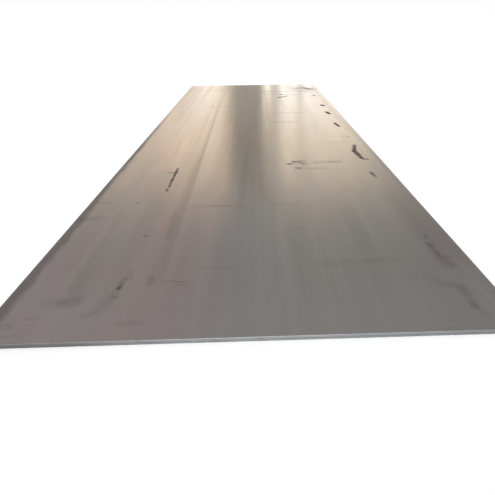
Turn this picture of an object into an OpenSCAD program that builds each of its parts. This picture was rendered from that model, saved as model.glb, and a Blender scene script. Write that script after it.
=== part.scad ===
// Hot-rolled steel plate, lying flat on its underside.
// X runs across the width, Y along the rolling direction and Z up through the thickness.
// The origin is the middle of the underside.

/* [Plate] */
// Length along the rolling direction, end to end
plate_length = 6000; // [1000:1:12000]
// Width across the rolling direction, over the rolled edges
plate_width = 2000; // [600:1:3000]
// Thickness between the two rolled faces
plate_thickness = 20; // [10:0.5:40]

/* [Rolled long edges] */
// How far each long edge bulges out at mid thickness
edge_bulge = 2; // [0.5:0.1:5]

/* [Sheared ends] */
// Radius of the rim that the shear blade drew in
rollover_radius = 2; // [0.5:0.1:3]
// Height of the smooth band that the blade cut before the steel tore
burnish_height = 6; // [1:0.5:6]
// How far the torn band slopes back from the smooth band
breakout = 1.2; // [0.2:0.1:3]

/* [Hidden] */
$fn = 128;

// Half sizes, measured from the origin
half_length = plate_length / 2;
half_width = plate_width / 2;
half_thickness = plate_thickness / 2;
// Radius of the arc through the two corners of a long edge and its bulge
barrel_radius = (edge_bulge ^ 2 + half_thickness ^ 2) / (2 * edge_bulge);
// Height where the smooth band of the leading end stops and the torn band starts
tear_height = plate_thickness - rollover_radius - burnish_height;
// Overrun of the cutting shapes past the faces that they cut
overrun = 10;

// Section across the width: a slab whose long edges were left barrel-shaped by the rolls.
module rolled_section() {
    difference() {
        translate([-half_width, 0]) square([plate_width, plate_thickness]);
        for (side = [0, 1]) mirror([side, 0]) edge_waste();
    }
}

// What the barrel arc leaves off the right-hand long edge.
module edge_waste() {
    difference() {
        translate([half_width - edge_bulge, -overrun])
            square([edge_bulge + overrun, plate_thickness + 2 * overrun]);
        translate([half_width - barrel_radius, half_thickness]) circle(r = barrel_radius);
    }
}

// Section along the length. The leading end has its drawn-in rim on top and its torn band below.
// The trailing end is the same end turned over, because one stroke of the shear
// leaves the two pieces that it parts the opposite way up.
module sheared_section() {
    difference() {
        polygon([
            [-half_length, plate_thickness],
            [-half_length, tear_height],
            [-half_length + breakout, 0],
            [half_length, 0],
            [half_length, plate_thickness - tear_height],
            [half_length - breakout, plate_thickness]
        ]);
        rim_waste();
        turned_over() rim_waste();
    }
}

// What the drawn-in rim leaves off the upper corner of the leading end.
module rim_waste() {
    translate([-half_length, plate_thickness - rollover_radius])
        difference() {
            translate([-overrun, 0]) square(rollover_radius + overrun);
            translate([rollover_radius, 0]) circle(r = rollover_radius);
        }
}

// Turns a shape of the section along the length by half a turn about the middle of the plate.
module turned_over() {
    translate([0, half_thickness]) rotate(180) translate([0, -half_thickness]) children();
}

// The whole plate: the rolled slab, cut off at both ends by the shear.
module plate() {
    color("#7d7976")
        intersection() {
            rotate([90, 0, 0])
                linear_extrude(plate_length + 2 * overrun, center = true) rolled_section();
            rotate([90, 0, 90])
                linear_extrude(plate_width + 2 * overrun, center = true) sheared_section();
        }
}

plate();
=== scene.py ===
import math

import bpy
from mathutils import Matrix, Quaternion, Vector, noise


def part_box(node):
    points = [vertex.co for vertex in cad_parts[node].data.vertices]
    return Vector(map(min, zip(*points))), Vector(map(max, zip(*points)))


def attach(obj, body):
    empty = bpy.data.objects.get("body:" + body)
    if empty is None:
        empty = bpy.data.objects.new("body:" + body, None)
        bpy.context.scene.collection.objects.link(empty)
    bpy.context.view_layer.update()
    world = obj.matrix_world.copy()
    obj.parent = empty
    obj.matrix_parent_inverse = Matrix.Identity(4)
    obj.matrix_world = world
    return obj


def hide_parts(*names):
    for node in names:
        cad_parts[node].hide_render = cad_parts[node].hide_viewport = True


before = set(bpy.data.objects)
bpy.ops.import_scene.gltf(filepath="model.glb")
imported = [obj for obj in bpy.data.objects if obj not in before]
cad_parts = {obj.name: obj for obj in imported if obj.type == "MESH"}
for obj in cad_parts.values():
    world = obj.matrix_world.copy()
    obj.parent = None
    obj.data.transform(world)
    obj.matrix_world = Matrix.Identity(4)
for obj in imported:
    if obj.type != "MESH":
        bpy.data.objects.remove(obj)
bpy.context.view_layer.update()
scene = bpy.context.scene
scene.view_settings.view_transform = "Standard"


# Camera
# Stands about a metre off the near end, at waist height, and looks down along the plate.
# The picture is 495 pixels square, cut a little to the left of the lens axis.
IMAGE_SIZE = 495
SENSOR_WIDTH = 36
FOCAL_PIXELS = 402.5
AXIS_RIGHT_OF_MIDDLE = 20.0
CAMERA_PLACE = Vector((0.024, -4.074, 1.001))
LOOK_DOWN = math.radians(29.90)
LOOK_RIGHT = math.radians(1.47)
CAMERA_ROLL = math.radians(-0.71)

camera_data = bpy.data.cameras.new("camera")
camera_data.sensor_fit = "HORIZONTAL"
camera_data.sensor_width = SENSOR_WIDTH
camera_data.lens = SENSOR_WIDTH * FOCAL_PIXELS / IMAGE_SIZE
camera_data.shift_x = -AXIS_RIGHT_OF_MIDDLE / IMAGE_SIZE
camera = bpy.data.objects.new("camera", camera_data)
scene.collection.objects.link(camera)
look = Vector((
    math.sin(LOOK_RIGHT) * math.cos(LOOK_DOWN),
    math.cos(LOOK_RIGHT) * math.cos(LOOK_DOWN),
    -math.sin(LOOK_DOWN),
))
camera.rotation_mode = "QUATERNION"
camera.rotation_quaternion = look.to_track_quat("-Z", "Y") @ Quaternion((0, 0, 1), CAMERA_ROLL)
camera.location = CAMERA_PLACE
scene.camera = camera


# Plate, its shape
# One slab of steel, rolled hot to its thickness. The long edges bulge where the rolls squeezed them out,
# and a guillotine shear cut both ends, so each has a drawn-in rim, a smooth band and a torn band.
EDGE_BULGE = 0.002
EDGE_RIM_RADIUS = 0.001
EDGE_WANDER, EDGE_WANDER_PITCH = 0.0004, 1.7
EDGE_PITS, EDGE_PIT_PITCH = 0.00012, (70, 300)
RIM_RADIUS = 0.002
RIM_WANDER_SHARE, RIM_WANDER_PITCH = 0.3, 14
SMOOTH_BAND = 0.006
BAND_WANDER, BAND_WANDER_PITCH = 0.0014, 23
TEAR_SLOPE = 0.0012
TEAR_GRAIN, TEAR_GRAIN_PITCH = 0.0004, (160, 260)
TEAR_GRAIN_FULL = 0.25
NOTCH_DEPTH = 0.0012
NOTCH_FADE = 2.2
NOTCH_HALF_WIDTH = 0.005
NOTCH_PLACES = (-0.62, -0.17, 0.39, 0.49, 0.71)
FACE_WAVE = 0.0004
LONG_WAVE_PITCH = (0.9, 0.55)
SHORT_WAVE_PITCH = (2.3, 1.4)
SHORT_WAVE_SHARE = 0.4
SHARP_ANGLE = math.radians(40)
MARGIN = 0.01
CELLS_ACROSS = 50
CELLS_ALONG = 150
STEPS_PER_CELL_ACROSS = 10
STEPS_PER_CELL_ALONG = 4
RIM_STEPS = 5
BAND_STEP = 0.002
LEADING, TRAILING = 1, 2
RIGHT, LEFT = 1, 2

lowest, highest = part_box("plate")
half_width = -lowest.x
half_length = highest.y
thickness = highest.z
barrel_radius = (EDGE_BULGE**2 + (thickness / 2) ** 2) / (2 * EDGE_BULGE)
steps_across = CELLS_ACROSS * STEPS_PER_CELL_ACROSS
steps_along = CELLS_ALONG * STEPS_PER_CELL_ALONG
steps_round = 2 * (steps_across + steps_along)


def between(start, end, share):
    return start + (end - start) * share


def face_wave(x, y):
    """Height of the slow waves that rolling and cooling leave in the upper face."""
    long_wave = noise.noise(Vector((LONG_WAVE_PITCH[0] * x, LONG_WAVE_PITCH[1] * y, 3.1)))
    short_wave = noise.noise(Vector((SHORT_WAVE_PITCH[0] * x, SHORT_WAVE_PITCH[1] * y, 8.7)))
    return FACE_WAVE * (long_wave + SHORT_WAVE_SHARE * short_wave)


def rounding(radius, below_face):
    """How far a rounded rim lies in from its wall, at a depth below the face that it meets."""
    if below_face >= radius:
        return 0.0
    return radius - math.sqrt(radius**2 - (radius - below_face) ** 2)


def edge_setback(y, z, side):
    """How far a rolled long edge lies in from the widest place of the plate."""
    from_middle = z - thickness / 2
    barrel = barrel_radius - math.sqrt(barrel_radius**2 - from_middle**2)
    rims = rounding(EDGE_RIM_RADIUS, z) + rounding(EDGE_RIM_RADIUS, thickness - z)
    wander = EDGE_WANDER * (1 + noise.noise(Vector((EDGE_WANDER_PITCH * y, side, 0.4))))
    pit_place = Vector((EDGE_PIT_PITCH[0] * y, 5 * side, EDGE_PIT_PITCH[1] * z))
    pits = EDGE_PITS * (1 + noise.noise(pit_place))
    return barrel + rims + wander + pits


def band_place(x, drop, end):
    """Place on a sheared end at a depth below its drawn-in rim: smooth below 0, and 1 at the torn rim."""
    wander = BAND_WANDER * noise.noise(Vector((BAND_WANDER_PITCH * x, 4.2 * end, 0.3)))
    tear_start = RIM_RADIUS + SMOOTH_BAND + wander
    return (drop - tear_start) / (thickness - tear_start)


def end_setback(x, drop, end):
    """How far a sheared end lies in from the end of the plate, at a depth below its drawn-in rim."""
    rim_wander = RIM_WANDER_SHARE * noise.noise(Vector((RIM_WANDER_PITCH * x, 2.7 * end, 5.5)))
    drawn_rim = RIM_RADIUS * (1 + rim_wander)
    torn = max(0.0, band_place(x, drop, end))
    grain_place = Vector((TEAR_GRAIN_PITCH[0] * x, 7.3 * end, TEAR_GRAIN_PITCH[1] * drop))
    grain = TEAR_GRAIN * (1 + noise.noise(grain_place)) * min(1, torn / TEAR_GRAIN_FULL)
    notch = 0.0
    for place in NOTCH_PLACES:
        off = (x - place) / NOTCH_HALF_WIDTH
        notch = max(notch, NOTCH_DEPTH * (1 - off**2) * max(0.0, 1 - NOTCH_FADE * (1 - torn)))
    return rounding(drawn_rim, drop) + TEAR_SLOPE * torn + grain + notch


def near_y(x, z):
    return -half_length + end_setback(x, thickness - z, LEADING)


def far_y(x, z):
    return half_length - end_setback(x, z, TRAILING)


def right_x(y, z):
    return half_width - edge_setback(y, z, RIGHT)


def left_x(y, z):
    return -half_width + edge_setback(y, z, LEFT)


def ring_heights():
    """Heights of the rings of points round the plate, close together at both rims."""
    rim = [RIM_RADIUS * (1 - math.sin(math.pi / 2 * k / RIM_STEPS)) for k in range(RIM_STEPS, -1, -1)]
    band_steps = round((thickness - 2 * RIM_RADIUS) / BAND_STEP)
    bands = [RIM_RADIUS + k * BAND_STEP for k in range(1, band_steps)]
    return rim + bands + [thickness - z for z in reversed(rim)]


def wall_ring(z):
    """Points round the plate at one height, along its near end, right edge, far end and left edge."""
    ring = []
    for k in range(steps_across):
        x = between(left_x(-half_length, z), right_x(-half_length, z), k / steps_across)
        ring.append((x, near_y(x, z), z))
    for k in range(steps_along):
        y = between(near_y(half_width, z), far_y(half_width, z), k / steps_along)
        ring.append((right_x(y, z), y, z))
    for k in range(steps_across):
        x = between(right_x(half_length, z), left_x(half_length, z), k / steps_across)
        ring.append((x, far_y(x, z), z))
    for k in range(steps_along):
        y = between(far_y(-half_width, z), near_y(-half_width, z), k / steps_along)
        ring.append((left_x(y, z), y, z))
    return ring


def margin_ring(z):
    """Points of a straight line round a rolled face, just inside its rims."""
    x, y = half_width - MARGIN, half_length - MARGIN
    corners = ((-x, -y), (x, -y), (x, y), (-x, y))
    ring = []
    for side, start in enumerate(corners):
        end = corners[(side + 1) % 4]
        steps = steps_along if side % 2 else steps_across
        for k in range(steps):
            ring.append((between(start[0], end[0], k / steps), between(start[1], end[1], k / steps), z))
    return ring


points, faces = [], []
heights = ring_heights()
for z in heights:
    points += wall_ring(z)
wall_points = len(points)
for low_ring in range(len(heights) - 1):
    for k in range(steps_round):
        low, high = low_ring * steps_round, (low_ring + 1) * steps_round
        after = (k + 1) % steps_round
        faces.append((low + k, low + after, high + after, high + k))
wall_faces = len(faces)


def border_place(i, j):
    """Where a corner of the outermost cells lies along the margin's line."""
    if j == 0:
        return i * STEPS_PER_CELL_ACROSS
    if i == CELLS_ACROSS:
        return steps_across + j * STEPS_PER_CELL_ALONG
    if j == CELLS_ALONG:
        return steps_across + steps_along + (CELLS_ACROSS - i) * STEPS_PER_CELL_ACROSS
    return 2 * steps_across + steps_along + (CELLS_ALONG - j) * STEPS_PER_CELL_ALONG


def add_rolled_face(wall, z, upward):
    """Fills a rolled face: a narrow margin of fine steps along its rims, then a grid of coarse cells."""
    margin = len(points)
    points.extend(margin_ring(z))
    inner = {}
    for i in range(1, CELLS_ACROSS):
        for j in range(1, CELLS_ALONG):
            inner[i, j] = len(points)
            x = (half_width - MARGIN) * (2 * i / CELLS_ACROSS - 1)
            y = (half_length - MARGIN) * (2 * j / CELLS_ALONG - 1)
            points.append((x, y, z))
    made = []
    for k in range(steps_round):
        after = (k + 1) % steps_round
        made.append((wall + k, wall + after, margin + after, margin + k))
    for i in range(CELLS_ACROSS):
        for j in range(CELLS_ALONG):
            cell = []
            sides = (
                (i, j, j == 0, STEPS_PER_CELL_ACROSS),
                (i + 1, j, i + 1 == CELLS_ACROSS, STEPS_PER_CELL_ALONG),
                (i + 1, j + 1, j + 1 == CELLS_ALONG, STEPS_PER_CELL_ACROSS),
                (i, j + 1, i == 0, STEPS_PER_CELL_ALONG),
            )
            for corner_i, corner_j, on_border, steps in sides:
                if (corner_i, corner_j) in inner:
                    cell.append(inner[corner_i, corner_j])
                    continue
                start = border_place(corner_i, corner_j)
                for k in range(steps if on_border else 1):
                    cell.append(margin + (start + k) % steps_round)
            made.append(tuple(cell))
    faces.extend(made if upward else [tuple(reversed(face)) for face in made])


add_rolled_face(0, 0.0, upward=False)
under_faces = len(faces)
add_rolled_face((len(heights) - 1) * steps_round, thickness, upward=True)
waved = [(x, y, z + face_wave(x, y) * z / thickness) for x, y, z in points]

plate_mesh = bpy.data.meshes.new("plate_steel")
plate_mesh.from_pydata(waved, [], faces)
plate_mesh.shade_smooth()
plate_mesh.set_sharp_from_angle(angle=SHARP_ANGLE)
plate = bpy.data.objects.new("plate_steel", plate_mesh)
scene.collection.objects.link(plate)

# Where each point lies on the bands of its sheared end, for the finish of the ends.
shear_band = plate_mesh.attributes.new("shear_band", "FLOAT", "POINT")
for index, (x, y, z) in enumerate(points[:wall_points]):
    if y < MARGIN - half_length:
        shear_band.data[index].value = band_place(x, thickness - z, LEADING)
    elif y > half_length - MARGIN:
        shear_band.data[index].value = band_place(x, z, TRAILING)

# Flat map of the surface in upright strips, the widest for the upper face. A strip is given by its borders.
MAP_STRIPS = {
    "upper": (0.005, 0.595),
    "under": (0.605, 0.855),
    "near": (0.865, 0.890),
    "right": (0.900, 0.925),
    "far": (0.935, 0.960),
    "left": (0.970, 0.995),
}
MAP_LOW, MAP_HIGH = 0.005, 0.995


def wall_side(face):
    """The side of the plate that a face of its wall lies on."""
    k = face % steps_round
    if k < steps_across:
        return "near"
    if k < steps_across + steps_along:
        return "right"
    if k < 2 * steps_across + steps_along:
        return "far"
    return "left"


flat_map = plate_mesh.uv_layers.new(name="OFBake")
flat_places = []
for face, corners in enumerate(faces):
    if face < wall_faces:
        side = wall_side(face)
    else:
        side = "under" if face < under_faces else "upper"
    for point in corners:
        x, y, z = points[point]
        across = 0.5 + x / (2 * half_width)
        along = 0.5 + y / (2 * half_length)
        if face < wall_faces:
            height = (point // steps_round) / (len(heights) - 1)
            along = across if side in ("near", "far") else along
            across = height
        flat_places.append(between(*MAP_STRIPS[side], across))
        flat_places.append(between(MAP_LOW, MAP_HIGH, along))
flat_map.data.foreach_set("uv", flat_places)

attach(plate, "root")
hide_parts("plate")


# Plate, its mill scale
# The thin blue-grey oxide that forms on the hot steel and is pressed smooth by the rolls. It has lengthwise
# streaks, tinted clouds, a seam, and the dark rubs and smears that lifting and hauling left.
def add_node(tree, kind, inputs=None, **settings):
    """Adds a shader node and sets or links its inputs, by name or by number."""
    made = tree.nodes.new("ShaderNode" + kind)
    for name, value in settings.items():
        setattr(made, name, value)
    for name, value in (inputs or {}).items():
        if isinstance(value, bpy.types.NodeSocket):
            tree.links.new(value, made.inputs[name])
        else:
            made.inputs[name].default_value = value
    return made


def calc(tree, operation, *values):
    """The result of a Math node."""
    return add_node(tree, "Math", dict(enumerate(values)), operation=operation).outputs[0]


def product(tree, value, *factors):
    """A value times one or more factors."""
    for factor in factors:
        value = calc(tree, "MULTIPLY", value, factor)
    return value


def vector_calc(tree, operation, first, second):
    """The result of a Vector Math node: a vector, or a number for a dot product or a distance."""
    made = add_node(tree, "VectorMath", {0: first, 1: second}, operation=operation)
    return made.outputs["Value" if operation in ("DOT_PRODUCT", "DISTANCE") else "Vector"]


def soft_step(tree, value, low, high):
    """0 below low, 1 above high and a smooth rise between them. With low above high it falls."""
    limits = {"Value": value, "From Min": low, "From Max": high}
    step = add_node(tree, "MapRange", limits, interpolation_type="SMOOTHSTEP", clamp=False)
    return step.outputs["Result"]


def mix_colours(tree, share, first, second, way="MIX"):
    """The first colour with a share of the second, mixed in or, with way MULTIPLY, multiplied in."""
    colours = {0: share, 6: first, 7: second}
    return add_node(tree, "Mix", colours, data_type="RGBA", blend_type=way).outputs[2]


def mix_values(tree, share, first, second):
    return add_node(tree, "Mix", {0: share, 2: first, 3: second}, data_type="FLOAT").outputs[0]


def colours_across(tree, value, low, high, stops):
    """Colours that run from stop to stop while a value goes from low to high. A stop is (value, colour)."""
    limits = {"Value": value, "From Min": low, "From Max": high}
    share = add_node(tree, "MapRange", limits).outputs["Result"]
    ramp = add_node(tree, "ValToRGB", {"Fac": share})
    elements = ramp.color_ramp.elements
    while len(elements) < len(stops):
        elements.new(1)
    for element, (at, colour) in zip(elements, stops):
        element.position = (at - low) / (high - low)
        element.color = colour
    return ramp.outputs["Color"]


def new_group(name, inputs, output):
    """A shader node group with named inputs, given as (name, kind), and one named output."""
    group = bpy.data.node_groups.new(name, "ShaderNodeTree")
    for label, kind in inputs:
        group.interface.new_socket(name=label, in_out="INPUT", socket_type="NodeSocket" + kind)
    group.interface.new_socket(name=output, in_out="OUTPUT", socket_type="NodeSocketFloat")
    return group, group.nodes.new("NodeGroupInput").outputs, group.nodes.new("NodeGroupOutput").inputs


def place_group(tree, group, **inputs):
    """Places a group in a material, with its inputs set by name, and gives its output."""
    values = {name.replace("_", " "): value for name, value in inputs.items()}
    return add_node(tree, "Group", values, node_tree=group).outputs[0]


def drawn_noise(group, entry, detail, roughness):
    """Noise at a group's Place, drawn out by its Pitch: how many waves to a metre along X, Y and Z."""
    drawn = vector_calc(group, "MULTIPLY", entry["Place"], entry["Pitch"])
    inputs = {"Vector": drawn, "Scale": 1, "Detail": detail, "Roughness": roughness}
    return add_node(group, "TexNoise", inputs).outputs["Fac"]


def new_finish(name):
    """A material, its node tree and its shader."""
    made = bpy.data.materials.new(name)
    made.use_nodes = True
    return made, made.node_tree, made.node_tree.nodes["Principled BSDF"]


# Streaks drawn out along one direction, 0 to 1
streaks, entry, leave = new_group("drawn_streaks", [("Place", "Vector"), ("Pitch", "Vector")], "Streak")
streaks.links.new(drawn_noise(streaks, entry, detail=3, roughness=0.6), leave["Streak"])

# Cloudy patches, 1 where a cloud is thick. Low and High are where its soft border starts and ends.
cloud_inputs = [("Place", "Vector"), ("Pitch", "Vector"), ("Low", "Float"), ("High", "Float")]
clouds, entry, leave = new_group("tint_clouds", cloud_inputs, "Mask")
cloud = drawn_noise(clouds, entry, detail=4, roughness=0.55)
clouds.links.new(soft_step(clouds, cloud, entry["Low"], entry["High"]), leave["Mask"])

# One rub or smear: 1 along the line between two places, fading out over Feather past its half width.
rub_inputs = [
    ("Place", "Vector"),
    ("From", "Vector"),
    ("To", "Vector"),
    ("Half width", "Float"),
    ("Feather", "Float"),
]
rub, entry, leave = new_group("rub_mark", rub_inputs, "Mask")
line = vector_calc(rub, "SUBTRACT", entry["To"], entry["From"])
reach = vector_calc(rub, "SUBTRACT", entry["Place"], entry["From"])
reach_dot = vector_calc(rub, "DOT_PRODUCT", reach, line)
line_dot = vector_calc(rub, "DOT_PRODUCT", line, line)
share = calc(rub, "MINIMUM", calc(rub, "MAXIMUM", calc(rub, "DIVIDE", reach_dot, line_dot), 0.0), 1.0)
foot = add_node(rub, "VectorMath", {0: line, "Scale": share}, operation="SCALE").outputs["Vector"]
off = vector_calc(rub, "DISTANCE", reach, foot)
past = calc(rub, "SUBTRACT", off, entry["Half width"])
rub.links.new(soft_step(rub, past, entry["Feather"], 0.0), leave["Mask"])

# The rubs and smears, in metres on the upper face: a path, its half width, its feather and how dark it is.
RUBS = (
    # Deep rub left of the middle, with a drag across its far end
    (((-0.552, -1.128), (-0.561, -1.15)), 0.002, 0.018, 0.25),
    (((-0.562, -1.155), (-0.565, -1.23)), 0.004, 0.014, 0.76),
    (((-0.565, -1.23), (-0.564, -1.44)), 0.004, 0.014, 0.88),
    (((-0.564, -1.44), (-0.563, -1.53)), 0.002, 0.014, 0.86),
    (((-0.566, -1.57), (-0.566, -1.597)), 0.004, 0.011, 0.8),
    (((-0.64, -1.245), (-0.60, -1.239)), 0.003, 0.028, 0.2),
    (((-0.60, -1.239), (-0.56, -1.234)), 0.006, 0.026, 0.54),
    # Row of chain marks inside the right edge
    (((0.86, 1.955), (0.87, 1.91)), 0.008, 0.022, 0.8),
    (((0.864, 1.21), (0.880, 1.145)), 0.013, 0.020, 1.0),
    (((0.880, 1.19), (0.915, 1.205)), 0.004, 0.020, 0.4),
    (((0.857, 0.785), (0.876, 0.665)), 0.012, 0.020, 1.0),
    (((0.856, 0.22), (0.872, 0.065)), 0.008, 0.019, 0.88),
    (((0.880, -0.625), (0.868, -0.68)), 0.009, 0.016, 0.8),
    (((0.866, -0.69), (0.853, -0.75)), 0.011, 0.016, 0.9),
    (((0.843, -0.775), (0.842, -0.815)), 0.015, 0.017, 0.95),
    (((0.846, -0.835), (0.851, -0.91)), 0.013, 0.017, 0.88),
    (((0.851, -0.91), (0.855, -0.985)), 0.009, 0.017, 0.88),
    (((0.855, -0.985), (0.869, -1.014)), 0.008, 0.016, 0.9),
    (((0.869, -1.014), (0.893, -1.022)), 0.005, 0.014, 0.8),
    (((0.845, -1.325), (0.850, -1.365)), 0.008, 0.018, 0.74),
    (((0.850, -1.365), (0.854, -1.415)), 0.003, 0.018, 0.7),
    # Sideways scuffs right of the middle
    (((0.273, -1.099), (0.285, -1.099)), 0.010, 0.020, 0.75),
    (((0.295, -1.095), (0.35, -1.07)), 0.004, 0.027, 0.3),
    (((0.318, -1.045), (0.353, -1.053)), 0.010, 0.026, 0.6),
    (((0.353, -1.055), (0.386, -1.10)), 0.009, 0.030, 0.5),
    (((0.36, -1.04), (0.39, -1.033)), 0.006, 0.040, 0.36),
    (((0.40, -1.10), (0.50, -1.085)), 0.006, 0.040, 0.2),
    (((0.48, -1.072), (0.56, -1.068)), 0.010, 0.036, 0.28),
    (((0.56, -1.066), (0.66, -1.063)), 0.010, 0.036, 0.38),
    (((0.323, -1.193), (0.347, -1.201)), 0.008, 0.022, 0.58),
    (((0.35, -1.205), (0.55, -1.22)), 0.004, 0.035, 0.25),
    # Scuffs and drags towards the far end
    (((0.70, 2.55), (0.86, 2.50)), 0.030, 0.220, 0.36),
    (((0.70, 2.61), (0.79, 2.63)), 0.012, 0.110, 0.46),
    (((0.78, 2.62), (0.89, 2.46)), 0.006, 0.100, 0.68),
    (((0.15, 2.33), (0.94, 2.24)), 0.010, 0.070, 0.27),
    (((0.69, 2.33), (0.79, 2.30)), 0.020, 0.070, 0.38),
    (((-0.95, 2.57), (-0.45, 2.54)), 0.060, 0.150, 0.12),
    (((0.15, 2.10), (0.69, 2.01)), 0.010, 0.060, 0.24),
    (((0.39, 2.065), (0.404, 2.03)), 0.012, 0.022, 0.85),
    (((0.358, 1.80), (0.383, 1.83)), 0.012, 0.030, 0.95),
    (((0.383, 1.83), (0.47, 1.90)), 0.010, 0.030, 0.65),
    (((-0.60, 1.20), (-0.25, 1.19)), 0.004, 0.040, 0.2),
    (((0.32, 0.775), (0.56, 0.755)), 0.004, 0.045, 0.28),
    (((0.20, 0.31), (0.46, 0.29)), 0.006, 0.045, 0.24),
    (((0.60, -0.51), (0.80, -0.525)), 0.004, 0.030, 0.18),
    (((0.872, -0.33), (0.885, -0.34)), 0.005, 0.020, 0.55),
    (((0.68, -0.31), (0.86, -0.32)), 0.003, 0.030, 0.14),
    # Greasy smears by the near right corner
    (((0.88, -2.285), (0.862, -2.305), (0.877, -2.322)), 0.003, 0.009, 0.75),
    (((0.863, -2.37), (0.867, -2.435), (0.873, -2.505)), 0.008, 0.022, 0.68),
    (((0.873, -2.50), (0.885, -2.56)), 0.014, 0.036, 0.55),
    (((0.875, -2.493), (0.908, -2.50)), 0.005, 0.016, 0.66),
    (((0.735, -2.66), (0.775, -2.69)), 0.002, 0.022, 0.2),
    (((0.775, -2.69), (0.812, -2.72)), 0.003, 0.024, 0.3),
    (((0.812, -2.72), (0.858, -2.735)), 0.006, 0.032, 0.3),
    (((0.858, -2.735), (0.861, -2.79)), 0.004, 0.032, 0.46),
    (((0.861, -2.79), (0.858, -2.84)), 0.003, 0.026, 0.4),
    (((0.858, -2.84), (0.857, -2.865)), 0.004, 0.024, 0.5),
    (((0.857, -2.865), (0.867, -2.905)), 0.002, 0.024, 0.2),
    (((0.30, -2.53), (0.64, -2.505)), 0.008, 0.030, 0.16),
    (((0.97, -1.85), (0.97, -2.45)), 0.040, 0.120, 0.16),
    # Rubs by the near left corner
    (((-0.555, -2.545), (-0.535, -2.60)), 0.003, 0.014, 0.2),
    (((-0.555, -2.60), (-0.561, -2.635)), 0.003, 0.019, 0.45),
    (((-0.561, -2.635), (-0.563, -2.67)), 0.003, 0.016, 0.6),
    (((-0.563, -2.67), (-0.565, -2.69)), 0.005, 0.015, 0.82),
    (((-0.565, -2.685), (-0.566, -2.72)), 0.002, 0.014, 0.32),
    (((-0.58, -2.737), (-0.557, -2.738)), 0.003, 0.010, 0.55),
    (((-0.57, -2.73), (-0.585, -2.79)), 0.004, 0.044, 0.2),
    (((-0.585, -2.80), (-0.596, -2.822)), 0.001, 0.020, 0.16),
    (((-0.596, -2.822), (-0.619, -2.845), (-0.65, -2.854)), 0.002, 0.018, 0.24),
    (((-0.453, -2.597), (-0.442, -2.62), (-0.445, -2.66)), 0.003, 0.022, 0.3),
    (((-0.385, -2.639), (-0.34, -2.64)), 0.002, 0.010, 0.32),
    (((-0.34, -2.64), (-0.29, -2.641)), 0.002, 0.009, 0.45),
    (((-0.325, -2.664), (-0.28, -2.665)), 0.002, 0.008, 0.36),
    (((-0.495, -2.905), (-0.425, -2.907)), 0.001, 0.024, 0.2),
    (((-0.725, -2.755), (-0.76, -2.768)), 0.005, 0.060, 0.44),
    (((-0.76, -2.768), (-0.82, -2.772)), 0.002, 0.045, 0.18),
    (((-0.90, -2.90), (-0.98, -2.895)), 0.002, 0.028, 0.2),
    (((-0.776, -1.81), (-0.766, -1.95)), 0.002, 0.035, 0.1),
    (((-0.766, -1.95), (-0.757, -2.28)), 0.004, 0.040, 0.18),
    (((-0.757, -2.28), (-0.75, -2.52)), 0.005, 0.042, 0.27),
    (((-0.75, -2.52), (-0.746, -2.70)), 0.006, 0.050, 0.3),
    (((-0.875, -1.985), (-0.955, -2.005)), 0.008, 0.045, 0.36),
    (((-0.875, -1.78), (-0.955, -1.765)), 0.004, 0.030, 0.22),
    # Faint drag across the middle, a brown streak by the seam, and single dents
    (((-0.365, -1.853), (-0.25, -1.856)), 0.004, 0.024, 0.2),
    (((-0.25, -1.857), (-0.125, -1.861)), 0.007, 0.020, 0.3),
    (((-0.125, -1.861), (-0.02, -1.865)), 0.004, 0.030, 0.1),
    (((0.11, -1.855), (0.26, -1.858)), 0.004, 0.040, 0.14),
    (((0.205, -2.173), (0.26, -2.173)), 0.002, 0.025, 0.1),
    (((-0.448, -1.945), (-0.443, -2.25)), 0.005, 0.018, 0.26),
    (((-0.71, -1.784), (-0.704, -1.784)), 0.003, 0.010, 0.65),
    (((-0.562, -2.216), (-0.554, -2.216)), 0.005, 0.012, 0.75),
    (((-0.765, -1.957), (-0.755, -1.957)), 0.008, 0.030, 0.2),
)
SCALE_TINTS = (
    (-1.00, (0.185, 0.158, 0.156, 1)),
    (-0.90, (0.198, 0.165, 0.162, 1)),
    (-0.70, (0.208, 0.176, 0.172, 1)),
    (-0.46, (0.206, 0.174, 0.169, 1)),
    (-0.32, (0.200, 0.168, 0.165, 1)),
    (-0.16, (0.194, 0.178, 0.173, 1)),
    (-0.02, (0.181, 0.177, 0.174, 1)),
    (0.24, (0.184, 0.173, 0.164, 1)),
    (0.60, (0.176, 0.166, 0.157, 1)),
    (0.80, (0.155, 0.145, 0.137, 1)),
    (1.00, (0.160, 0.150, 0.144, 1)),
)
PINK_SCALE = (0.226, 0.168, 0.157, 1)
GREEN_SCALE = (0.168, 0.172, 0.148, 1)
TAN_SCALE = (0.190, 0.166, 0.142, 1)
# Pale of the painted light on the lit side of the seam's lap
LAP_LIT_PALE = (0.213, 0.189, 0.181, 1)
RUB_DARK = (0.026, 0.014, 0.008, 1)
EDGE_DARK = (0.119, 0.101, 0.097, 1)
GRIME_DARK = (0.105, 0.095, 0.094, 1)
# Dark of the seam's line and of the painted shade of its lap
SEAM_LINE_AND_SHADE_DARK = (0.070, 0.055, 0.046, 1)
SCALE_ROUGH, RUB_ROUGH, EDGE_ROUGH = 0.18, 1.0, 0.55
SMOOTHEST = 0.12
SCALE_METAL, RUB_METAL = 0.75, 0.0
UPPER_SIDE_LOW, UPPER_SIDE_HIGH = 0.4, 0.6

scale_finish, tree, shader = new_finish("rolled_scale")
place = add_node(tree, "TexCoord").outputs["Object"]
axes = add_node(tree, "SeparateXYZ", {0: place}).outputs
upper_side = soft_step(tree, axes["Z"], UPPER_SIDE_LOW * thickness, UPPER_SIDE_HIGH * thickness)

# Tints across the width, with borders that wander along the plate
TINT_WANDER = 0.24
wander = place_group(tree, streaks, Place=place, Pitch=(1.5, 0.8, 1.0))
tint_x = calc(tree, "MULTIPLY_ADD", calc(tree, "SUBTRACT", wander, 0.5), TINT_WANDER, axes["X"])
colour = colours_across(tree, tint_x, -half_width, half_width, SCALE_TINTS)

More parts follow.
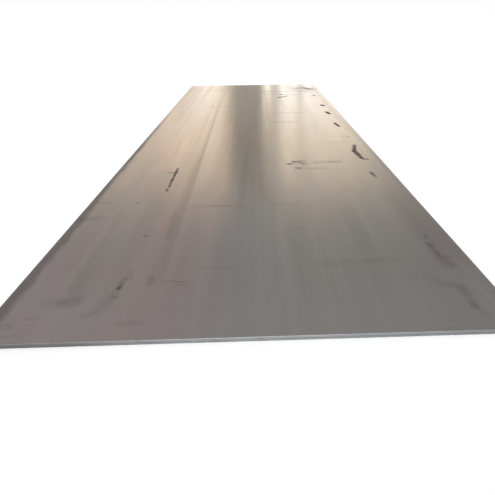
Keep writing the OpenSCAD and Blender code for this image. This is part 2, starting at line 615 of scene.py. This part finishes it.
# Clouds: pinker on the left half, greener mostly on the right, and tan ones away from the near end
LEFT_HALF_X = (0.05, -0.35)
GREEN_MOST, GREEN_LESS_ON_LEFT = 0.5, 0.35
TAN_Y = (-2.5, -1.4)
pink = place_group(tree, clouds, Place=place, Pitch=(5.0, 1.6, 5.0), Low=0.50, High=0.72)
left_half = soft_step(tree, axes["X"], *LEFT_HALF_X)
colour = mix_colours(tree, product(tree, pink, left_half), colour, PINK_SCALE)
green = place_group(tree, clouds, Place=place, Pitch=(3.7, 1.1, 3.0), Low=0.52, High=0.75)
green_share = calc(tree, "SUBTRACT", GREEN_MOST, product(tree, left_half, GREEN_LESS_ON_LEFT))
colour = mix_colours(tree, product(tree, green, green_share), colour, GREEN_SCALE)
tan = place_group(tree, clouds, Place=place, Pitch=(4.3, 1.3, 4.0), Low=0.35, High=0.75)
tan_share = soft_step(tree, axes["Y"], *TAN_Y)
colour = mix_colours(tree, product(tree, tan, tan_share), colour, TAN_SCALE)

# Streaks along the rolling direction, broad and fine, sparse faint drags across it, and soft mottling
BROAD_SHARE, FINE_SHARE = 0.6, 0.4
STREAK_LIGHT, DRAG_LIGHT = 0.3, -0.12
MOTTLE_LIGHT, MOTTLE_MORE_ON_LEFT = 0.08, 0.06
MOTTLE_Y = (-2.8, -1.0)
broad = place_group(tree, streaks, Place=place, Pitch=(9.0, 0.22, 9.0))
fine = place_group(tree, streaks, Place=place, Pitch=(70.0, 0.5, 70.0))
lines = calc(tree, "MULTIPLY_ADD", broad, BROAD_SHARE, product(tree, fine, FINE_SHARE))
lines = calc(tree, "SUBTRACT", lines, 0.5)
drags = place_group(tree, clouds, Place=place, Pitch=(2.6, 34.0, 2.6), Low=0.60, High=0.74)
mottle = place_group(tree, clouds, Place=place, Pitch=(11.0, 2.0, 11.0), Low=0.35, High=0.65)
mottle_share = soft_step(tree, axes["Y"], *MOTTLE_Y)
mottle_light = calc(tree, "MULTIPLY_ADD", left_half, MOTTLE_MORE_ON_LEFT, MOTTLE_LIGHT)
mottle = product(tree, calc(tree, "SUBTRACT", mottle, 0.5), mottle_share, mottle_light)
light = calc(tree, "MULTIPLY_ADD", lines, STREAK_LIGHT, 1.0)
light = calc(tree, "ADD", light, mottle)
light = calc(tree, "MULTIPLY_ADD", drags, DRAG_LIGHT, light)
colour = mix_colours(tree, 1.0, colour, light, "MULTIPLY")

# Seam: a straight lap along the plate, left of the middle, with a thin dark line on it. Painted shade of
# the lap darkens the scale towards it from the left, and painted light on its lit side makes the scale pale
# to the right of it. All of that fades out towards the near end.
SEAM_X, SEAM_SLANT = -0.424, 0.005
SEAM_LINE_OFF, SEAM_LINE_Y, SEAM_LINE_SHARE = (0.018, 0.004), (-1.5, -0.8), 0.32
SEAM_SHADE_START, SEAM_SHADE_END = (-0.065, -0.005), (0.024, 0.012)
SEAM_SHADE_Y, SEAM_SHADE_SHARE = (-2.9, -0.9), 0.48
LAP_LIT_START, LAP_LIT_END, LAP_LIT_Y = (0.016, 0.03), (0.16, 0.06), (-2.2, -1.2)
seam_off = calc(tree, "MULTIPLY_ADD", axes["Y"], SEAM_SLANT, calc(tree, "SUBTRACT", axes["X"], SEAM_X))
seam_line = product(
    tree,
    soft_step(tree, calc(tree, "ABSOLUTE", seam_off), *SEAM_LINE_OFF),
    soft_step(tree, axes["Y"], *SEAM_LINE_Y),
)
# Painted shade of the lap, on the left of the seam
lap_shade = product(
    tree,
    soft_step(tree, seam_off, *SEAM_SHADE_START),
    soft_step(tree, seam_off, *SEAM_SHADE_END),
    soft_step(tree, axes["Y"], *SEAM_SHADE_Y),
)
seam_and_lap_shade = calc(tree, "MULTIPLY_ADD", lap_shade, SEAM_SHADE_SHARE, product(tree, seam_line, SEAM_LINE_SHARE))
colour = mix_colours(tree, seam_and_lap_shade, colour, SEAM_LINE_AND_SHADE_DARK)
# Painted light on the lit side of the lap, on the right of the seam
lap_lit = product(
    tree,
    soft_step(tree, seam_off, *LAP_LIT_START),
    soft_step(tree, seam_off, *LAP_LIT_END),
    soft_step(tree, axes["Y"], *LAP_LIT_Y),
)
colour = mix_colours(tree, lap_lit, colour, LAP_LIT_PALE)

# Darker, rougher strip along the rolled edges, strongest on the left and worn off towards the far end,
# and grime inside the right edge
EDGE_STRIP_X, EDGE_RAGGED = (0.971, 1.010), 0.05
EDGE_WIDER, EDGE_WIDER_Y = 0.02, (-1.4, -2.2)
EDGE_STRIP_Y, EDGE_ON_RIGHT = (1.1, -0.9), 0.25
GRIME_X, GRIME_START_Y, GRIME_END_Y, GRIME_SHARE = (0.76, 0.94), (-2.9, -2.2), (-0.5, -1.1), 0.68
ragged = place_group(tree, streaks, Place=place, Pitch=(16.0, 7.0, 16.0))
from_middle = calc(tree, "MULTIPLY_ADD", ragged, EDGE_RAGGED, calc(tree, "ABSOLUTE", axes["X"]))
wider = soft_step(tree, axes["Y"], *EDGE_WIDER_Y)
from_middle = calc(tree, "MULTIPLY_ADD", wider, EDGE_WIDER, from_middle)
edge = product(
    tree,
    soft_step(tree, from_middle, *EDGE_STRIP_X),
    soft_step(tree, axes["Y"], *EDGE_STRIP_Y),
    mix_values(tree, left_half, EDGE_ON_RIGHT, 1.0),
)
colour = mix_colours(tree, edge, colour, EDGE_DARK)
grime = product(
    tree,
    soft_step(tree, axes["Y"], *GRIME_START_Y),
    soft_step(tree, axes["Y"], *GRIME_END_Y),
    soft_step(tree, axes["X"], *GRIME_X),
    GRIME_SHARE,
)
colour = mix_colours(tree, grime, colour, GRIME_DARK)

# Rubs and smears, with wavering borders and worn places
RUB_WAVER = (0.018, 0.03, 0.0)
RUB_LEAST = 0.75
grit = add_node(tree, "TexNoise", {"Vector": place, "Scale": 22, "Detail": 2, "Roughness": 0.5})
shaken = vector_calc(tree, "SUBTRACT", grit.outputs["Color"], (0.5, 0.5, 0.5))
shaken = vector_calc(tree, "MULTIPLY", shaken, RUB_WAVER)
ragged_place = vector_calc(tree, "ADD", place, shaken)
flat_place = vector_calc(tree, "MULTIPLY", ragged_place, (1, 1, 0))
rubbed = None
for path, half, feather, dark in RUBS:
    for start, end in zip(path, path[1:]):
        ends = {"From": (*start, 0), "To": (*end, 0)}
        mask = place_group(tree, rub, Place=flat_place, Half_width=half, Feather=feather, **ends)
        mask = calc(tree, "MULTIPLY", mask, dark)
        rubbed = mask if rubbed is None else calc(tree, "MAXIMUM", rubbed, mask)
worn = place_group(tree, clouds, Place=place, Pitch=(40.0, 25.0, 40.0), Low=0.35, High=0.60)
rubbed = product(tree, rubbed, calc(tree, "MULTIPLY_ADD", worn, 1 - RUB_LEAST, RUB_LEAST), upper_side)
colour = mix_colours(tree, rubbed, colour, RUB_DARK)

# Gloss and relief: duller along the streaks and drags and towards the edges, and dullest in the rubs
DULL_LEFT_X, DULL_RIGHT_X, DULL_ON_RIGHT = (-0.66, -1.0), (0.80, 1.0), 0.4
STREAK_DULL, EDGE_DULL, DRAG_DULL = 0.45, 0.08, 0.06
GRAIN_RELIEF = 0.04
dull_left = soft_step(tree, axes["X"], *DULL_LEFT_X)
dull_right = soft_step(tree, axes["X"], *DULL_RIGHT_X)
dull = calc(tree, "MULTIPLY_ADD", dull_right, DULL_ON_RIGHT, dull_left)
rough = calc(tree, "MULTIPLY_ADD", lines, STREAK_DULL, SCALE_ROUGH)
rough = calc(tree, "MULTIPLY_ADD", dull, EDGE_DULL, rough)
rough = calc(tree, "MULTIPLY_ADD", drags, DRAG_DULL, rough)
rough = calc(tree, "MAXIMUM", rough, SMOOTHEST)
rough = mix_values(tree, edge, rough, EDGE_ROUGH)
rough = mix_values(tree, product(tree, rubbed, rubbed), rough, RUB_ROUGH)
metal = mix_values(tree, rubbed, SCALE_METAL, RUB_METAL)
grain = add_node(tree, "TexNoise", {"Vector": place, "Scale": 350, "Detail": 2})
relief = calc(tree, "MULTIPLY_ADD", grain.outputs["Fac"], GRAIN_RELIEF, lines)
bump = add_node(tree, "Bump", {"Height": relief, "Strength": 0.08, "Distance": 0.001})
tree.links.new(colour, shader.inputs["Base Color"])
tree.links.new(rough, shader.inputs["Roughness"])
tree.links.new(metal, shader.inputs["Metallic"])
tree.links.new(bump.outputs["Normal"], shader.inputs["Normal"])
plate_mesh.materials.append(scale_finish)


# Plate, its sheared ends
# Bare bright steel where the shear cut through. The blade burnished the band under the drawn-in rim and
# scored it upright, and below that the steel tore away and is grainy and darker.
END_TINTS = (
    (-1.00, (0.190, 0.185, 0.190, 1)),
    (-0.62, (0.250, 0.248, 0.255, 1)),
    (-0.48, (0.315, 0.317, 0.328, 1)),
    (-0.20, (0.405, 0.410, 0.425, 1)),
    (0.10, (0.425, 0.430, 0.440, 1)),
    (0.50, (0.360, 0.374, 0.395, 1)),
    (1.00, (0.285, 0.292, 0.305, 1)),
)
# Dark of the burr along the torn rim, which also stands as painted contact shadow along the foot of the
# near end
BURR_AND_SHADOW_DARK = (0.06, 0.055, 0.05, 1)
RUST = (0.16, 0.075, 0.03, 1)
TORN_BAND, TEAR_ROOT_END = (-0.10, 0.05), (0.55, 0.20)
BURR_AND_SHADOW_BAND, RIM_BAND = (0.85, 1.0), (-0.4, -0.65)
SMOOTH_LIGHT, SCORE_LIGHT = 1.04, -0.35
TORN_LIGHT, CRUMB_LIGHT = 0.62, 0.5
TEAR_ROOT_LIGHT, RIM_LIGHT = -0.12, -0.12
LEAST_LIGHT, LENGTH_LIGHT = 0.75, 0.5
BURR_AND_SHADOW_SHARE, RUST_SHARE = 0.6, 0.35
SMOOTH_ROUGH, SCORE_ROUGH, TORN_ROUGH = 0.26, 0.2, 0.6
SCORE_RELIEF = 0.4
END_METAL = 0.9

sheared_finish, tree, shader = new_finish("sheared_steel")
place = add_node(tree, "TexCoord").outputs["Object"]
axes = add_node(tree, "SeparateXYZ", {0: place}).outputs
band = add_node(tree, "Attribute", attribute_name="shear_band").outputs["Fac"]
torn = soft_step(tree, band, *TORN_BAND)
tear_root = product(tree, torn, soft_step(tree, band, *TEAR_ROOT_END))
# Band along the torn rim: its dark burr, and painted contact shadow at the foot of the near end
burr_and_shadow = soft_step(tree, band, *BURR_AND_SHADOW_BAND)
rim = soft_step(tree, band, *RIM_BAND)
scores = place_group(tree, streaks, Place=place, Pitch=(260.0, 1.0, 14.0))
crumbs = place_group(tree, streaks, Place=place, Pitch=(420.0, 420.0, 420.0))
lengths = place_group(tree, streaks, Place=place, Pitch=(5.0, 1.0, 1.0))
smooth_light = calc(tree, "MULTIPLY_ADD", scores, SCORE_LIGHT, SMOOTH_LIGHT)
torn_light = calc(tree, "MULTIPLY_ADD", crumbs, CRUMB_LIGHT, TORN_LIGHT)
light = mix_values(tree, torn, smooth_light, torn_light)
light = calc(tree, "MULTIPLY_ADD", tear_root, TEAR_ROOT_LIGHT, light)
light = calc(tree, "MULTIPLY_ADD", rim, RIM_LIGHT, light)
light = product(tree, light, calc(tree, "MULTIPLY_ADD", lengths, LENGTH_LIGHT, LEAST_LIGHT))
colour = colours_across(tree, axes["X"], -half_width, half_width, END_TINTS)
colour = mix_colours(tree, 1.0, colour, light, "MULTIPLY")
# Darkens the torn rim: the burr, and painted shadow where the near end meets the floor
colour = mix_colours(tree, product(tree, burr_and_shadow, BURR_AND_SHADOW_SHARE), colour, BURR_AND_SHADOW_DARK)
rust = place_group(tree, clouds, Place=place, Pitch=(18.0, 18.0, 60.0), Low=0.58, High=0.75)
colour = mix_colours(tree, product(tree, rust, RUST_SHARE), colour, RUST)
smooth_rough = calc(tree, "MULTIPLY_ADD", scores, SCORE_ROUGH, SMOOTH_ROUGH)
rough = mix_values(tree, torn, smooth_rough, TORN_ROUGH)
relief = mix_values(tree, torn, product(tree, scores, SCORE_RELIEF), crumbs)
bump = add_node(tree, "Bump", {"Height": relief, "Strength": 0.4, "Distance": 0.0006})
tree.links.new(colour, shader.inputs["Base Color"])
tree.links.new(rough, shader.inputs["Roughness"])
tree.links.new(bump.outputs["Normal"], shader.inputs["Normal"])
shader.inputs["Metallic"].default_value = END_METAL
plate_mesh.materials.append(sheared_finish)

for face in range(wall_faces):
    if wall_side(face) in ("near", "far"):
        plate_mesh.polygons[face].material_index = 1


# Floor
# A plain pale studio floor that the plate lies on, matt and wide enough to pass the edge of every view.
FLOOR_HALF = 150
FLOOR_DROP = 0.0002
FLOOR_COLOUR = (0.9, 0.9, 0.9, 1)
FLOOR_ROUGH, FLOOR_SHINE = 0.9, 0.1
FLOOR_GLOW = 0.1
WHITE = (1, 1, 1, 1)


def seen_directly(tree):
    """1 where a ray comes from the camera or from a mirroring or clear surface, and 0 from a matt one."""
    rays = add_node(tree, "LightPath").outputs
    seen = calc(tree, "MAXIMUM", rays["Is Camera Ray"], rays["Is Glossy Ray"])
    return calc(tree, "MAXIMUM", seen, rays["Is Transmission Ray"])


floor_mesh = bpy.data.meshes.new("floor")
floor_corners = [(-1, -1), (1, -1), (1, 1), (-1, 1)]
floor_mesh.from_pydata([(FLOOR_HALF * x, FLOOR_HALF * y, 0) for x, y in floor_corners], [], [(0, 1, 2, 3)])
floor = bpy.data.objects.new("floor", floor_mesh)
floor.location.z = -FLOOR_DROP
scene.collection.objects.link(floor)
floor_finish, tree, shader = new_finish("floor")
shader.inputs["Base Color"].default_value = FLOOR_COLOUR
shader.inputs["Roughness"].default_value = FLOOR_ROUGH
shader.inputs["Specular IOR Level"].default_value = FLOOR_SHINE
shader.inputs["Emission Color"].default_value = WHITE
tree.links.new(product(tree, seen_directly(tree), FLOOR_GLOW), shader.inputs["Emission Strength"])
floor_mesh.materials.append(floor_finish)


# Studio light
# A white room with one broad soft light overhead, and a tall screen past the far end: two pale warm panels
# with a dim gap between them, which the scale mirrors where it is seen at a low angle.
ROOM_WHITE = 1.0
ROOM_ON_MATT = 0.6
KEY_STRENGTH = 1.6
KEY_SPREAD = math.radians(70)
KEY_FROM = Vector((-0.15, -0.5, 0.85))
SCREEN_Y = 12.0
SCREEN_HALF = 12.0
SCREEN_FADE_FROM = 8.0
SCREEN_HIGH_FROM = (1.2, 3.4)
SCREEN_HAZE_FROM = (3.5, 7.5)
SCREEN_END = (9.5, 12.5)
SCREEN_HAZE = (0.88, 0.86, 0.83, 1)
SCREEN_LOW_STOPS = (
    (-12.0, (1.20, 1.08, 0.95, 1)),
    (-4.5, (1.55, 1.40, 1.23, 1)),
    (-2.45, (1.64, 1.49, 1.33, 1)),
    (-2.00, (1.80, 1.63, 1.45, 1)),
    (-1.65, (1.94, 1.75, 1.54, 1)),
    (-1.27, (1.72, 1.52, 1.23, 1)),
    (-1.03, (1.36, 1.17, 0.92, 1)),
    (-0.85, (0.92, 0.79, 0.64, 1)),
    (-0.66, (0.62, 0.55, 0.47, 1)),
    (0.22, (0.60, 0.53, 0.46, 1)),
    (0.31, (0.80, 0.72, 0.60, 1)),
    (0.41, (2.28, 2.06, 1.76, 1)),
    (0.52, (2.43, 2.20, 1.88, 1)),
    (0.63, (1.30, 1.17, 1.00, 1)),
    (0.86, (1.09, 0.99, 0.87, 1)),
    (1.03, (2.08, 1.94, 1.80, 1)),
    (1.25, (2.18, 2.03, 1.89, 1)),
    (1.62, (2.15, 2.00, 1.86, 1)),
    (1.70, (1.25, 1.16, 1.06, 1)),
    (1.79, (1.25, 1.16, 1.06, 1)),
    (1.88, (2.20, 2.04, 1.90, 1)),
    (3.00, (2.28, 2.11, 1.95, 1)),
    (4.00, (2.10, 1.92, 1.75, 1)),
    (12.0, (1.20, 1.12, 1.02, 1)),
)
SCREEN_HIGH_STOPS = (
    (-12.0, (1.20, 1.00, 0.80, 1)),
    (-6.0, (1.57, 1.38, 1.10, 1)),
    (-4.5, (1.54, 1.32, 1.05, 1)),
    (-3.95, (1.68, 1.37, 1.04, 1)),
    (-3.4, (1.94, 1.54, 1.14, 1)),
    (-3.0, (1.99, 1.63, 1.21, 1)),
    (-1.8, (2.02, 1.66, 1.23, 1)),
    (-1.32, (1.83, 1.46, 1.06, 1)),
    (-1.02, (1.10, 0.89, 0.65, 1)),
    (-0.78, (0.60, 0.52, 0.43, 1)),
    (0.15, (0.61, 0.53, 0.44, 1)),
    (0.30, (0.72, 0.63, 0.50, 1)),
    (0.42, (1.36, 1.13, 0.85, 1)),
    (0.55, (1.32, 1.09, 0.82, 1)),
    (0.75, (1.12, 0.94, 0.72, 1)),
    (0.88, (1.26, 1.08, 0.86, 1)),
    (1.05, (1.84, 1.58, 1.24, 1)),
    (1.25, (2.30, 1.98, 1.53, 1)),
    (1.58, (2.32, 2.00, 1.54, 1)),
    (1.73, (1.72, 1.48, 1.15, 1)),
    (1.88, (1.72, 1.48, 1.15, 1)),
    (2.02, (2.06, 1.77, 1.37, 1)),
    (3.1, (2.15, 1.84, 1.43, 1)),
    (3.8, (1.99, 1.71, 1.33, 1)),
    (6.0, (1.58, 1.37, 1.10, 1)),
    (12.0, (1.20, 1.04, 0.86, 1)),
)

room = bpy.data.worlds.new("room")
scene.world = room
room.use_nodes = True
tree = room.node_tree
back = tree.nodes["Background"]
back.inputs["Color"].default_value = WHITE
room_light = mix_values(tree, seen_directly(tree), ROOM_ON_MATT, ROOM_WHITE)
tree.links.new(room_light, back.inputs["Strength"])

key_data = bpy.data.lights.new("key", "SUN")
key_data.energy = KEY_STRENGTH
key_data.angle = KEY_SPREAD
key = bpy.data.objects.new("key", key_data)
key.rotation_mode = "QUATERNION"
key.rotation_quaternion = (-KEY_FROM).to_track_quat("-Z", "Y")
scene.collection.objects.link(key)

screen_mesh = bpy.data.meshes.new("screen")
screen_top = SCREEN_END[1]
screen_corners = [
    (-SCREEN_HALF, SCREEN_Y, 0),
    (SCREEN_HALF, SCREEN_Y, 0),
    (SCREEN_HALF, SCREEN_Y, screen_top),
    (-SCREEN_HALF, SCREEN_Y, screen_top),
]
screen_mesh.from_pydata(screen_corners, [], [(0, 1, 2, 3)])
screen = bpy.data.objects.new("screen", screen_mesh)
scene.collection.objects.link(screen)
screen.visible_camera = False
screen.visible_diffuse = False
screen.visible_shadow = False
screen_finish, tree, shader = new_finish("screen")
tree.nodes.remove(shader)
axes = add_node(tree, "SeparateXYZ", {0: add_node(tree, "TexCoord").outputs["Object"]}).outputs
low = colours_across(tree, axes["X"], -SCREEN_HALF, SCREEN_HALF, SCREEN_LOW_STOPS)
high = colours_across(tree, axes["X"], -SCREEN_HALF, SCREEN_HALF, SCREEN_HIGH_STOPS)
panels = mix_colours(tree, soft_step(tree, axes["Z"], *SCREEN_HIGH_FROM), low, high)
panels = mix_colours(tree, soft_step(tree, axes["Z"], *SCREEN_HAZE_FROM), panels, SCREEN_HAZE)
glow = add_node(tree, "Emission", {"Color": panels, "Strength": 1})
clear = add_node(tree, "BsdfTransparent")
fade_up = soft_step(tree, axes["Z"], *SCREEN_END)
fade_out = soft_step(tree, calc(tree, "ABSOLUTE", axes["X"]), SCREEN_FADE_FROM, SCREEN_HALF)
fade = calc(tree, "MAXIMUM", fade_up, fade_out)
blend = add_node(tree, "MixShader", {0: fade, 1: glow.outputs[0], 2: clear.outputs[0]})
tree.links.new(blend.outputs[0], tree.nodes["Material Output"].inputs["Surface"])
screen_mesh.materials.append(screen_finish)
